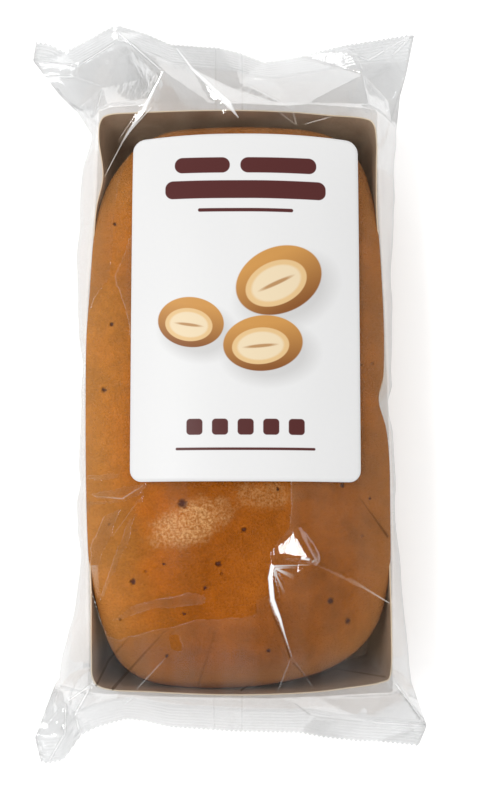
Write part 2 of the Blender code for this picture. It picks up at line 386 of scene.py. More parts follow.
def make_crust_look():
    look = Look("egg_washed_crust")
    where = look.add("TexCoord").outputs["Object"]
    split = look.add("SeparateXYZ", {0: where})
    baked = look.noise(where, 42, 4)
    mottle = look.noise(where, 170, 5, 0.65)
    grain = look.noise(where, 1200, 1.5, 0.7)
    sand = look.noise(where, 1050, 3, 0.75)
    # Across the loaf the glaze turns from the lighter left, which is painted light, to the middle and right
    # colours.
    painted_light_across = look.math("ADD", split.outputs["X"], look.math("MULTIPLY", baked, 0.05))
    colour = look.mixed(look.stepped(painted_light_across, -0.040, 0.010), GLAZE_LEFT_PAINTED_LIGHT, GLAZE_MIDDLE)
    colour = look.mixed(look.stepped(painted_light_across, 0.010, 0.060), colour, GLAZE_RIGHT)
    for patches, low, high, dark, light in (
        (baked, 0.35, 0.65, 0.84, 1.12), (mottle, 0.38, 0.62, 0.92, 1.05), (grain, 0.36, 0.64, 0.92, 1.09),
    ):
        colour = look.mixed(1.0, colour, look.stepped(patches, low, high, dark, light), "MULTIPLY")
    # The sandy golden flecks are a painted glint of the key box, laid into the glaze's colour.
    glint_fleck = look.stepped(sand, 0.36, 0.68, 0.12, 1.0)
    for x, y, half_x, half_y, turn, strength in PAINTED_GLINT_PLACES:
        away = look.oval(where, (x * MM, y * MM), (half_x * MM, half_y * MM), turn)[1]
        ragged = look.math("ADD", away, mottle)
        amount = look.math("MULTIPLY", look.stepped(ragged, 0.95, 1.6, strength, 0), glint_fleck)
        colour = look.mixed(amount, colour, PAINTED_GLINT_GOLD)
    colour = look.mixed(look.stepped(split.outputs["Z"], 0.042, 0.058, 0.6, 0), colour, SIDE_BROWN)

    pits = look.add("TexVoronoi", {"Vector": where, "Scale": 210})
    few = look.add("SeparateColor", {0: pits.outputs["Color"]}).outputs[0]
    small = look.stepped(pits.outputs["Distance"], 0.05, 0.16, 1, 0)
    pit = look.math("MULTIPLY", small, look.stepped(few, 0.90, 0.92))
    colour = look.mixed(look.math("MULTIPLY", pit, 0.4), colour, PIT_BROWN)
    height = look.math("ADD", look.math("MULTIPLY", mottle, 0.8), grain)
    height = look.math("SUBTRACT", height, pit)

    tear = Vector((HOLE_TEAR, HOLE_TEAR, HOLE_TEAR)) * MM
    torn = look.vector("MULTIPLY_ADD", look.noise(where, 900, out="Color"), tear, where)
    hole = 0.0
    for x, y, radius in PRICKS:
        level = crown_height(x, y) - LOAF_UNDER_FILM + crust_relief(x, y)
        off = look.vector("SUBTRACT", torn, Vector((x, y, level)) * MM + tear / 2)
        mask = look.stepped(look.vector("LENGTH", off), radius * 0.3 * MM, radius * MM, 1, 0)
        hole = look.math("MAXIMUM", hole, mask)
    colour = look.mixed(look.math("MULTIPLY", hole, 0.9), colour, HOLE_BROWN)
    height = look.math("SUBTRACT", height, look.math("MULTIPLY", hole, 1.5))

    look.feed(look.shader, {
        "Base Color": colour, "Normal": look.bump(height, 1.0, 0.0009), "Roughness": 0.2,
        "Specular IOR Level": 0.5, "Specular Tint": GLAZE_SHINE,
    })
    return look.material


loaf = add_piece("strudel_loaf", make_loaf_mesh(), make_crust_look())
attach(loaf, "root")
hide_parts("bag")


# The bag is a tube of thin clear film, drawn tight over the tray and crimped flat across both ends.
# It lies wet on the buttery crust where it touches, stands off it between, and creases at both flaps.
# How far out the film hangs beside the tray, at the same steps as the rim.
LEFT_FILM = (69, 61.5, 62.3, 60.6, 62.7, 63.4, 60.3)
RIGHT_FILM = (67.8, 64.5, 62.5, 61.0, 61.9, 63.0, 64.5)
SEAL_WIDTH = 11
# The share of the film's width that lies over the tray, between its rims.
RIM_SHARE = 0.68
# Where the tight film runs below the tray, and how much shorter it is there than at the rim.
FILM_FLOOR, FILM_LEAN_ALONG = 0.15, 0.063
# The height where its top and its under side meet, and the tray's share of its rim's width there.
SLACK_LEVEL, WALL_MIDDLE = 24, 0.957
# Tucks in the film beside the long walls: side, place along the tray, half length and depth.
SIDE_TUCKS = ((-1, 108, 12, 3.0), (-1, 74, 10, 1.2), (-1, 14, 10, 1.4), (-1, -33, 8, 1.8), (-1, -62, 8, 1.0),
              (1, 96, 10, 1.0), (1, 52, 16, 1.0), (1, -3, 9, 2.6), (1, -48, 14, 1.2))
# The cut edge of each seal from its left end to its right one.
FAR_EDGE = (
    (-81.1, 146.2), (-76, 146.7), (-70.4, 145.2), (-57.3, 150.5), (-48.9, 154.4), (-36.4, 149.4),
    (-26.7, 144.7), (-7.0, 144.6), (1.5, 143.4), (11.3, 140.8), (26, 142.6), (42.9, 145.5), (71.6, 148.3),
)
NEAR_EDGE = (
    (-75.6, -140.3), (-73.4, -141.2), (-66.8, -140), (-60.5, -130.5), (-53.5, -127.5), (-43.2, -124.5),
    (-35.8, -125), (-26, -127.4), (-14.4, -128.1), (-1.7, -129.1), (24.5, -129.5), (34.2, -131.5),
    (47.9, -133.1), (55.7, -133.3), (70.9, -134.4),
)
# The points where each flap's creases meet: x, y and height. The film is stretched flat between them.
FAR_FLAP = {
    "ear": (-81.1, 146.2, 30), "ear_side": (-82.2, 138.7, 27), "ear_top": (-76, 146.7, 26),
    "notch": (-70.4, 145.2, 20), "peak_foot": (-57.3, 150.5, 25), "peak": (-48.9, 154.4, 27),
    "peak_fall": (-36.4, 149.4, 30), "shoulder": (-26.7, 144.7, 31), "level": (-7.0, 144.6, 27),
    "dip_start": (1.5, 143.4, 24), "dip": (11.3, 140.8, 20), "dip_end": (26, 142.6, 22),
    "rise": (42.9, 145.5, 27), "right_ear": (71.6, 148.3, 33), "right_side": (68.6, 132.7, 28),
    "right_wall": (66.1, 124.6, 26), "right_foot": (64.3, 104.5, 24), "left_wall": (-78.2, 133.2, 25),
    "left_slope": (-72.5, 125.0, 24), "left_low": (-66.2, 118.3, 24), "left_foot": (-60.0, 104.5, 24),
    "corner_left": (-53.8, 107.3, 48.6), "rim_left": (-48.8, 110.6, 48.6),
    "rim_ridge": (-36.0, 111.6, 49.8), "rim_fan": (-1.6, 112.6, 51.0),
    "rim_fan_left": (-8.0, 112.8, 48.8), "rim_arrow": (23.0, 111.9, 49.6),
    "rim_right": (48.7, 109.4, 48.6), "corner_right": (53.2, 106.5, 48.6), "root": (-63.7, 136.3, 28.5),
    "ridge_top": (-43.4, 144.8, 34), "ridge_bend": (-28.9, 129.2, 43), "chip": (-47.9, 145.8, 31.5),
    "chip_low": (-48.4, 150.5, 28.5), "fan_top": (-24.0, 142.5, 31.5), "fan_mid": (-17.4, 132.5, 36.2),
    "vein_start": (1.5, 128.0, 34.5), "vein_low": (-1.0, 124.0, 37), "hollow": (-53.4, 126.3, 33),
    "pleat": (-64.9, 131.4, 29), "pleat_foot": (-56.0, 111.3, 38), "right_ridge": (46.7, 140.5, 32),
    "right_bend": (50.5, 130.0, 37), "tip_left": (49.3, 139.2, 31), "tip_low": (53.0, 137.5, 32),
    "tip_right": (60.0, 141.5, 33), "glint": (62.0, 138.8, 31), "right_pleat": (60.5, 122.0, 30),
}
# Creases of a flap: where each starts and ends, and how strongly a painted highlight line shows along it,
# below 0 a painted shade line instead.
FAR_CREASES = (
    ("notch", "root", 0.3), ("root", "ear_side", 0.7), ("root", "pleat", 0.4),
    ("pleat", "left_wall", 0.8), ("root", "chip", 0.8), ("chip", "ridge_top", 0.8),
    ("chip", "chip_low", 0.8), ("chip_low", "ridge_top", 0.6), ("ridge_top", "ridge_bend", 1.0),
    ("ridge_bend", "rim_ridge", 1.0), ("fan_top", "fan_mid", 0.8), ("fan_mid", "rim_fan", 0.6),
    ("fan_mid", "rim_fan_left", 0.3), ("fan_mid", "vein_start", 0.3), ("vein_start", "rim_arrow", 0.5),
    ("hollow", "pleat", 0.4), ("hollow", "pleat_foot", 0.7), ("ridge_top", "hollow", 0.2),
    ("fan_top", "vein_start", 0.2), ("shoulder", "fan_top", 0.3), ("rise", "right_ridge", 0.2),
    ("right_ridge", "right_bend", 0.3), ("right_bend", "corner_right", 0.4), ("tip_left", "tip_low", 0.6),
    ("tip_low", "tip_right", 0.9), ("tip_right", "right_ear", 0.6), ("glint", "right_ear", 0.7),
    ("right_pleat", "corner_right", 0.3), ("vein_low", "rim_arrow", 0.5), ("right_side", "glint", 0.3),
)
# How far out the sides of the flaps have come on the way from the tray's end to the seal. Each is
# at the far end (1) or the near one (-1), on the right (1) or the left (-1).
SIDE_RUNS = {
    (1, -1): ((0, 0), (0.27, 0.284), (0.446, 0.587), (0.66, 0.861), (0.804, 1.053), (1, 1)),
    (1, 1): ((0, 0), (0.413, 0.25), (0.614, 0.577), (1, 1)),
    (-1, -1): ((0, 0), (0.065, 0.25), (0.71, 1.333), (1, 1)),
    (-1, 1): ((0, 0), (0.07, 0.19), (0.687, 1.97), (1, 1)),
}
NEAR_FLAP = {
    "ear_low": (-73.4, -141.2, 24), "ear_left": (-75.6, -140.3, 25), "ear_side": (-77.8, -130.9, 26),
    "ear_right": (-66.8, -140, 24), "ear_root": (-60.5, -130.5, 22), "seal_left": (-53.5, -127.5, 19.5),
    "seal_rise": (-43.2, -124.5, 20), "seal_a": (-26, -127.4, 23), "seal_middle": (-1.7, -129.1, 22),
    "seal_b": (24.5, -129.5, 23), "seal_c": (41.1, -132.3, 21), "seal_d": (55.7, -133.3, 20),
    "tip_low": (70.9, -134.4, 24), "tip": (73.9, -126.1, 28), "right_wall": (68.4, -109.8, 25),
    "right_foot": (66.8, -104.0, 24), "left_wall": (-71.4, -110.0, 24), "left_foot": (-69.5, -104.0, 24),
    "corner_left": (-53.8, -108.6, 48.6), "rim_left": (-47.8, -111.6, 48.6),
    "rim_fold": (-36.9, -112.4, 49.2), "rim_middle": (-1.6, -113.2, 48.8),
    "rim_ridge": (16.0, -113.2, 49.6), "rim_valley": (29.0, -112.6, 49.2),
    "corner_right": (58.5, -106.5, 48.6), "pleat": (-61.7, -121.3, 33), "pleat_out": (-65.5, -117.0, 31),
    "fold_end": (-43.0, -117.5, 36), "lens": (22.0, -116.0, 43), "lens_end": (29.5, -122.5, 29),
    "inner_right": (50.0, -124.5, 30), "crumple": (-66.0, -129.0, 28),
}
NEAR_CREASES = (
    ("corner_left", "pleat", 1.0), ("pleat", "ear_root", 0.6), ("corner_left", "pleat_out", 0.8),
    ("pleat_out", "crumple", 0.8), ("crumple", "ear_low", 0.6), ("rim_fold", "fold_end", 0.5),
    ("fold_end", "seal_left", 0.2), ("rim_ridge", "lens", 0.3), ("lens", "lens_end", -0.6),
    ("lens_end", "inner_right", -0.3), ("inner_right", "tip", 0.5), ("corner_right", "tip", 1.0),
    ("rim_valley", "lens_end", 0.2), ("pleat_out", "ear_side", 0.4), ("rim_middle", "seal_middle", 0.25),
)
# Folds over the tray and the crust: how strongly a painted highlight line shows along each, then its
# stations, with place, height and how far its left and its right slope reach there, all in mm.
BODY_FOLDS = (
    (0.0, (14.2, -64.6, 0.75, 8, 2.2), (14.0, -72.1, 0.95, 10, 2.8), (15.3, -79.8, 0.95, 10, 2.6),
     (17.3, -86.1, 0.7, 8, 1.8), (20.7, -98.0, 0.5, 6, 1.3)),
    (0.0, (27.2, -61.9, 2.6, 6.0, 9), (57.5, -78.0, 0.8, 3.0, 3)),
    (0.25, (20.7, -98.0, 0.8, 2.0, 5.0), (15.7, -111.4, 1.4, 4.0, 6.0)),
    (0.15, (20.7, -98.0, 0.8, 4.0, 2.0), (29.4, -110.4, 1.2, 6.0, 4.0)),
    (0.35, (-25.9, -98.5, 0.4, 2.5, 2.5), (-37.5, -111.0, 1.2, 4, 4)),
    (0.0, (-43.5, 67.0, 0.95, 5.0, 2.5), (-48.8, 45.0, 0.55, 3.0, 2.0)),
    (1.0, (-32.0, 114.0, 1.8, 4, 6), (-42.7, 100.1, 1.6, 3, 4)),
    (0.9, (-42.7, 100.1, 1.6, 3, 4), (-51.0, 84.5, 0.8, 2, 2.5)),
    (0.6, (-37.5, 112.0, 0.5, 1, 1.5), (-45.5, 99.0, 0.3, 1, 1)),
    (0.0, (-1.6, 112.6, 2.2, 3, 6), (-5.0, 107.5, 0.3, 2, 2)),
    (0.3, (15.5, 112.0, 0.6, 2.5, 2.5), (23.5, 104.8, 0.4, 1.5, 1.5)),
    (0.4, (23.5, 104.8, 0.4, 1.5, 1.5), (22.0, 112.0, 0.6, 2.5, 2.5)),
    (0.7, (26.4, 105.3, 0.5, 1.6, 1.6), (37.0, 109.0, 0.4, 1.6, 1.6)),
    (0.15, (-46.5, -54.0, 0.2, 1.2, 1.2), (-36.0, -40.0, 0.1, 1.2, 1.2)),
)
FOLD_RUN_OUT = 3
# The lifted corner by the crown: a small flat of film turned to the light. Its ridge is given by a
# place and the direction across it. Then how far its slopes reach before the ridge and past it, and
# how steeply the flat rises to the right and falls to the far end.
CROWN_FLAT = ((21.3, -52.4), (14.8, -57.6), (15.4, -60.2), (28.0, -62.4))
CROWN_RIDGE = (21.3, -52.6, 9.5, 6.3)
CROWN_REACH, RIDGE_REACH = 2.2, 5.0
CROWN_RISE_ACROSS, CROWN_FALL_ALONG = 0.40, 0.05
# Outlines of the places where the film lies wet on the crust, and of the dry lenses inside them.
WET_PLACES = (
    ((-34.5, -28), (-34.5, -40.8), (-56, -41.5), (-57.5, -60), (-54.5, -75), (-51.5, -82),
     (-50.5, -84.8), (-48.4, -90.2), (-43.6, -92.5), (-39.9, -90.9), (-32.0, -88.9), (-23.3, -86.8),
     (-13.9, -84.6), (0.1, -83.5), (7.1, -83.1), (7.7, -76.7), (11.7, -76.0), (12.9, -71.3), (12.9, -65.1),
     (13.4, -59.5), (16.4, -54.4), (20.0, -50.8), (20.3, -48.9), (20.8, -41.1), (21.2, -28), (0, -20)),
    ((-24.5, -90.0), (-21.0, -89.6), (-19.4, -93.9), (-20.2, -96.6), (-23.4, -95.8), (-24.5, -93.1)),
    ((-38.0, 97.5), (-41.0, 93.0), (-45.7, 80.1), (-46.7, 72.4), (-47.2, 62.6), (-47.4, 54.3), (-48.4, 47.4),
     (-47.8, 44.6), (-50.6, 42.1), (-54.0, 37.6), (-56.5, 32.3), (-59, 25.3), (-59, -40.2), (-36.0, -40.8),
     (-34, -33.2), (-39.6, 24.0), (-41.6, 32.1), (-44.1, 38.8), (-46.6, 44.5), (-44.2, 48.4), (-38.4, 64.0)),
)
DRY_LENSES = (
    ((-37.0, -43.0), (-42.0, -53.0), (-46.5, -65.0), (-51.5, -78.0), (-48.6, -73.5), (-44.6, -65.0),
     (-40.0, -55.0)),
    ((-43.0, -44.0), (-49.0, -57.0), (-54.5, -70.0), (-56.0, -68.0), (-54.0, -56.0), (-49.0, -45.5)),
    ((-46.4, -85.5), (-39.9, -80.4), (-28.0, -76.4), (-17.0, -74.6), (-10.8, -75.6), (-11.2, -78.3),
     (-20.1, -79.2), (-31.9, -80.8), (-40.7, -83.9)),
    ((-56.7, -30.3), (-49.3, -30.6), (-44.9, -29.6), (-40.6, -27.7), (-41.6, -29.5), (-46.5, -32.2),
     (-52.1, -33.1), (-55.5, -32.2)),
    ((-54.9, -37.3), (-47.1, -36.5), (-42.1, -35.0), (-33.5, -34.1), (-33.5, -35.4), (-36.7, -38.5),
     (-41.0, -39.7), (-45.4, -39.9), (-52.0, -39.0)),
)
# Broad painted highlights on creases and flats by their stations: place, half width and strength; below 0,
# painted shade.
PAINTED_BROAD_CREASES = (
    ((13.2, -64.6, 0.35, 1.9), (12.8, -69.0, 0.75, 1.9), (13.2, -72.9, 0.88, 1.9), (13.6, -76.9, 0.83, 1.9),
     (15.2, -81.3, 0.80, 1.9), (16.4, -84.1, 0.55, 1.8), (18.1, -89.7, 0.30, 1.2), (20.8, -98.1, 0.20, 0.6)),
    ((12.3, -77.6, 0.20, -0.4), (14.2, -83.5, 0.24, -1.0), (17.3, -90.0, 0.22, -1.0),
     (20.3, -98.6, 0.30, -1.2)),
    ((21.3, -52.6, 0.15, 1.9), (20.6, -59.5, 2.0, 1.9)), ((24.5, -61.6, 0.7, 1.9), (28.3, -62.8, 0.1, 1.4)),
    ((13.6, -64.7, 0.36, 1.4), (26.8, -64.3, 0.15, 0.3)), ((14.0, -65.2, 0.3, 1.6), (21.3, -68.6, 0.9, 0.1)),
    ((14.2, -66.2, 0.2, 1.3), (18.2, -75.0, 0.6, 0.0)), ((27.7, -62.6, 0.7, 0.1), (46.0, -71.6, 0.8, 0.24)),
    ((46.0, -71.6, 0.5, 0.3), (58.0, -78.6, 0.2, 0.9)), ((26.0, -61.2, 0.3, -0.3), (42.0, -68.6, 0.5, -0.3)),
    ((46.3, -38.8, 0.3, -0.3), (57.6, -53.8, 0.5, -0.9)),
    ((36.2, -102.6, 0.2, -0.3), (56.2, -106.0, 0.35, -0.6)),
    ((21.3, -100.3, 0.2, -0.8), (28.5, -108.2, 0.4, -0.3)),
    ((1.9, -111.0, 0.3, -0.9), (7.0, -107.4, 0.2, -0.5)),
    ((-7.5, -88.8, 0.5, -0.2), (-14.2, -109.5, 0.6, -0.35)),
    ((-25.8, -88.2, 0.3, -0.2), (-40.8, -104.5, 0.5, -0.8), (-46.3, -110.7, 0.6, -1.1)),
    ((-38.5, -89.9, 0.3, -0.2), (-47.4, -99.5, 0.5, -0.7), (-52.4, -109.5, 0.4, -1.0)),
    ((-53.4, -64.5, 1.5, 0.42), (-51.6, -76.0, 0.7, 0.10)),
    ((-53.5, -38.3, 0.2, 0.2), (-42.5, -39.6, 0.3, 0.5), (-34.6, -34.9, 0.2, 0.3)),
    ((-24.0, 142.5, 0.25, 0.9), (-17.4, 132.5, 0.6, 1.4), (-3.5, 115.0, 1.3, 1.9), (0.8, 108.6, 0.2, 1.0)),
    ((-28.9, 129.2, 0.3, 1.2), (-36.0, 111.6, 0.95, 1.9), (-44.2, 97.5, 0.3, 0.7)),
)
# A thin painted crease line's half width, how far a painted line runs on past its ends, and how wide its
# sides fade.
THIN_CREASE = 0.22
CREASE_RUN_OUT = 0.5
CREASE_FADE = 2.3
# What the film's attributes say where there is nothing to say, and the middle of the back's seam.
DRIEST, NOT_ON_BACK = -4.0, 99.0
BACK_SEAM_X = -3.0
# The ribs of the seals, the teeth of their cut edges, and what the film is like beside and on the tray.
SEAL_RIB, TOOTH_DEPTH = 1.3, 0.9
FILM_TINT, FILM_TINT_ON_TRAY = (0.824, 0.829, 0.832), (0.915, 0.915, 0.915)
# The white of the haze also draws the painted highlights; the crease shade is the colour of the painted
# shade lines.
HAZE_AND_HIGHLIGHT_WHITE, HAZE_GREASY = (0.90, 0.90, 0.90), (0.95, 0.71, 0.47)
CREASE_SHADE = (0.035, 0.018, 0.010, 1)
NEAR_FLAP_ROWS, BODY_ROWS, FAR_FLAP_ROWS = 34, 176, 52
TOP_COLUMNS, UNDER_COLUMNS = 212, 56
# Rows and columns stand closer where the film shows most: each is a share of them and how far it is.
ROW_PLACES = ((0, -1), (0.62, -0.30), (0.88, 0.86), (1, 1))
COLUMN_PLACES = ((-1, -1), (-0.033, 0.08), (0.408, 0.34), (1, 1))


def flap_net(points, creases):
    """The stretched facets of a flap, as a net that a height can be read from."""
    names = list(points)
    flat = [Vector(points[name][:2]) for name in names]
    edges = [(names.index(a), names.index(b)) for a, b, show in creases]
    places, _, facets, sources, _, _ = geometry.delaunay_2d_cdt(flat, edges, [], 0, 1e-4)
    corners = [(place.x, place.y, points[names[source[0]]][2]) for place, source in zip(places, sources)]
    return bvhtree.BVHTree.FromPolygons(corners, facets)


def net_height(net, x, y):
    hit = net.ray_cast(Vector((x, y, 200)), Vector((0, 0, -1)))[0]
    if hit is None:
        hit = net.find_nearest(Vector((x, y, 27)))[0]
    return hit.z


FAR_NET = flap_net(FAR_FLAP, FAR_CREASES)
NEAR_NET = flap_net(NEAR_FLAP, NEAR_CREASES)


def parts_of(line):
    """A line's parts, each from one station to the next."""
    return list(zip(line, line[1:]))


def from_line(start, end, x, y):
    """A line's length, and how far along it and how far to its left a place is."""
    run = math.hypot(end[0] - start[0], end[1] - start[1])
    ux, uy = (end[0] - start[0]) / run, (end[1] - start[1]) / run
    dx, dy = x - start[0], y - start[1]
    return run, dx * ux + dy * uy, dy * ux - dx * uy


def blend(a, b, t):
    return a + (b - a) * t


def fold_height(x, y):
    """The rise in mm that the folds give the film over the tray and the crust."""
    height = 0.0
    for show, *line in BODY_FOLDS:
        for start, end in parts_of(line):
            run, along, off = from_line(start, end, x, y)
            if along < -FOLD_RUN_OUT or along > run + FOLD_RUN_OUT:
                continue
            t = min(1.0, max(0.0, along / run))
            top, left, right = (blend(a, b, t) for a, b in zip(start[2:], end[2:]))
            tent = 1 - abs(off) / (left if off > 0 else right)
            if tent > 0:
                beyond = max(0.0, -along, along - run)
                height = max(height, top * tent * (1 - soft_step(beyond / FOLD_RUN_OUT)))
    return height


def crown_flat_height(x, y):
    """The rise of the lifted corner by the crown, whose flat leans to the left and catches the light."""
    outside = -outline_distance(CROWN_FLAT, x, y)
    ridge_x, ridge_y, to_x, to_y = CROWN_RIDGE
    past_ridge = (x - ridge_x) * to_x + (y - ridge_y) * to_y > 0
    reach = RIDGE_REACH if past_ridge else CROWN_REACH
    if outside > reach:
        return 0.0
    rise = 0.3 + (x - 15.0) * CROWN_RISE_ACROSS - (y + 57.0) * CROWN_FALL_ALONG
    return max(0.0, min(rise, 6.0)) * (1 - soft_step(outside / reach))


def outline_distance(outline, x, y):
    """How far inside a closed outline a place is, in mm; it is negative outside."""
    nearest, inside = 1e9, False
    for (x0, y0), (x1, y1) in zip(outline, outline[1:] + outline[:1]):
        dx, dy = x1 - x0, y1 - y0
        t = min(1.0, max(0.0, ((x - x0) * dx + (y - y0) * dy) / (dx * dx + dy * dy)))
        nearest = min(nearest, math.hypot(x - x0 - dx * t, y - y0 - dy * t))
        if (y0 > y) != (y1 > y) and x < x0 + dx * (y - y0) / dy:
            inside = not inside
    return nearest if inside else -nearest


def wetness(x, y):
    """How far in mm a place is inside the wet places; it is negative where the film is dry."""
    wander = Vector((x / 5, y / 5, 1.7))
    x += 0.7 * noise.noise(wander)
    y += 0.7 * noise.noise(wander + Vector((31, 7, 0)))
    wet = max(outline_distance(outline, x, y) for outline in WET_PLACES)
    dry = max(outline_distance(outline, x, y) for outline in DRY_LENSES)
    return max(DRIEST, min(-DRIEST, wet, -dry))


def crease_lines():
    """Every thin crease with a painted highlight line, and a painted shade line where its strength is below
    0, as the broad ones are written.
    """
    lines = []
    for show, *line in BODY_FOLDS:
        lines += [[(*station[:2], THIN_CREASE, show) for station in line]]
    for points, creases in ((FAR_FLAP, FAR_CREASES), (NEAR_FLAP, NEAR_CREASES)):
        lines += [[(*points[name][:2], THIN_CREASE, show) for name in (a, b)] for a, b, show in creases]
    return [part for line in lines for part in parts_of(line) if line[0][3]]


THIN_PARTS = crease_lines()
BROAD_PARTS = [part for line in PAINTED_BROAD_CREASES for part in parts_of(line)]


def crease_at(parts, x, y):
    """The side of the nearest crease, in its half widths, and how strongly its painted highlight, below 0
    its painted shade, shows here.
    """
    best, shown = 99.0, 0.0
    for start, end in parts:
        run, along, off = from_line(start, end, x, y)
        if along < -CREASE_RUN_OUT or along > run + CREASE_RUN_OUT:
            continue
        t = min(1.0, max(0.0, along / run))
        width, strength = blend(start[2], end[2], t), blend(start[3], end[3], t)
        off /= width
        if abs(off) < abs(best):
            best = off
            shown = strength * max(0.0, 1 - max(0.0, abs(off) - 1) * width / CREASE_FADE)
            if start[2] == end[2]:
                # A crease of even width fades at both ends.
                to_end = min(along, run - along) + CREASE_RUN_OUT
                shown *= min(1.0, to_end / (0.2 * run))
    return best, shown


def film_out(side, y):
    out = side_reach(LEFT_FILM, RIGHT_FILM, side, y)
    for tuck_side, at, half, depth in SIDE_TUCKS:
        if tuck_side == side:
            out -= depth * max(0.0, 1 - abs(y - at) / half)
    return out


def body_film(a, top, b):
    """A film point round the tray: a from -1 to 1 round half of it, b from -1 to 1 along it."""
    side = -1 if a < 0 else 1
    beyond = (abs(a) - RIM_SHARE) / (1 - RIM_SHARE)
    y = b * RIM_END
    x = a / RIM_SHARE * rim_x(side, y)
    if beyond <= 0 and top:
        edge = (1 - (abs(a) / RIM_SHARE) ** 10) * (1 - abs(b) ** 14)
        wet = soft_step(wetness(x, y) / 7 + 0.5)
        level = crown_height(x, y) - 0.15 * edge * wet
        level += max(fold_height(x, y), crown_flat_height(x, y)) * (1 - 0.3 * (1 - edge))
        bow = 1.2 * (1 - (a / RIM_SHARE) ** 2) * abs(b) ** 30
        return Vector((x, y + math.copysign(bow, b), level))
    if beyond <= 0:
        return Vector((x * (1 - LEAN_ACROSS), y * (1 - FILM_LEAN_ALONG), FILM_FLOOR))
    z = blend(FILM_RIM if top else FILM_FLOOR, SLACK_LEVEL, beyond)
    below = 1 - z / FILM_RIM
    wall = rim_x(side, y) * (1 - LEAN_ACROSS * below)
    bulge = math.sin(beyond * math.pi / 2)
    slack = film_out(side, y) - rim_x(side, y) * WALL_MIDDLE
    crinkle = 0.5 * noise.noise(Vector((y / 9, z / 30, side * 4.0)))
    return Vector((side * (wall + (slack + crinkle) * bulge), y * (1 - FILM_LEAN_ALONG * below), z))


def cut_edge(edge, a):
    """The place on a seal's cut edge, straight between its points, a from -1 at the left to 1."""
    x = edge[0][0] + (edge[-1][0] - edge[0][0]) * (a + 1) / 2
    for (x0, y0), (x1, y1) in zip(edge, edge[1:]):
        if x <= x1:
            break
    return x, y0 + (y1 - y0) * min(1.0, (x - x0) / (x1 - x0))


def placed(places, share):
    for (s0, p0), (s1, p1) in zip(places, places[1:]):
        if share <= s1:
            break
    return p0 + (p1 - p0) * (share - s0) / (s1 - s0)


def flap_film(a, top, end, t):
    """A film point on an end flap, t from 0 at the tray's end to 1 at the cut edge of the seal."""
    start = body_film(a, top, end)
    x_cut, y_cut = cut_edge(FAR_EDGE if end > 0 else NEAR_EDGE, a)
    seal_line = 1 - SEAL_WIDTH * 0.95 / (abs(y_cut) - abs(start.y))
    run = placed(SIDE_RUNS[end, -1 if a < 0 else 1], t)
    x = start.x + (x_cut - start.x) * blend(t, run, abs(a) ** 6)
    y = blend(start.y, y_cut, t)
    surface = net_height(FAR_NET if end > 0 else NEAR_NET, x, y)
    surface += 0.12 * noise.noise(Vector((x / 4, y / 7, 2.0)))
    in_ear = soft_step((-56 - x) / 8) * soft_step((-112 - y) / 10)
    surface += in_ear * 2.2 * abs(noise.noise(Vector((x / 4.2, y / 3.4, 6.0))))
    if top:
        z = blend(start.z, surface, soft_step(t / 0.12))
    else:
        gap = 0.2 * (1 - abs(a) ** 20)
        z = min(blend(start.z, surface, min(1.0, t / seal_line) ** 1.15), surface) - gap
        if t < seal_line:
            z += 1.2 * noise.noise(Vector((x / 12, y / 12, 9))) * math.sin(math.pi * t / seal_line)
            z = min(z, surface - gap)
    return Vector((x, y, max(z, 0.3)))


def film_point(a, top, row):
    if row < NEAR_FLAP_ROWS:
        return flap_film(a, top, -1, 1 - row / NEAR_FLAP_ROWS)
    row -= NEAR_FLAP_ROWS
    if row <= BODY_ROWS:
        return body_film(a, top, placed(ROW_PLACES, row / BODY_ROWS))
    return flap_film(a, top, 1, (row - BODY_ROWS) / FAR_FLAP_ROWS)


def make_film_mesh():
    film = bmesh.new()
    layers = {name: film.verts.layers.float.new(name) for name in (
        "wet", "crease_side", "crease_show", "broad_side", "broad_show", "back_seam")}
    round_and_inward = film.loops.layers.uv.new("film")
    rows = NEAR_FLAP_ROWS + BODY_ROWS + FAR_FLAP_ROWS
    for top, columns in ((True, TOP_COLUMNS), (False, UNDER_COLUMNS)):
        sheet = bmesh.ops.create_grid(film, x_segments=columns, y_segments=rows, size=1)["verts"]
        for vert in sheet:
            a, row = vert.co.x, round((vert.co.y + 1) / 2 * rows)
            a = placed(COLUMN_PLACES, a) if top else a
            place = film_point(a, top, row)
            vert.co = place * MM
            edge = FAR_EDGE if place.y > 0 else NEAR_EDGE
            inward = abs(cut_edge(edge, a)[1]) - abs(place.y)
            for loop in vert.link_loops:
                loop[round_and_inward].uv = (a, inward)
            over_crust = top and abs(a) <= RIM_SHARE and abs(place.y) <= RIM_END
            vert[layers["wet"]] = wetness(place.x, place.y) if over_crust else DRIEST
            vert[layers["back_seam"]] = NOT_ON_BACK if top else place.x - BACK_SEAM_X
            if top:
                for kind, parts in (("crease", THIN_PARTS), ("broad", BROAD_PARTS)):
                    side, show = crease_at(parts, place.x, place.y)
                    vert[layers[kind + "_side"]], vert[layers[kind + "_show"]] = side, show
        if not top:
            bmesh.ops.reverse_faces(film, faces=list({f for v in sheet for f in v.link_faces}))
    bmesh.ops.remove_doubles(film, verts=film.verts, dist=1e-6)
    return film


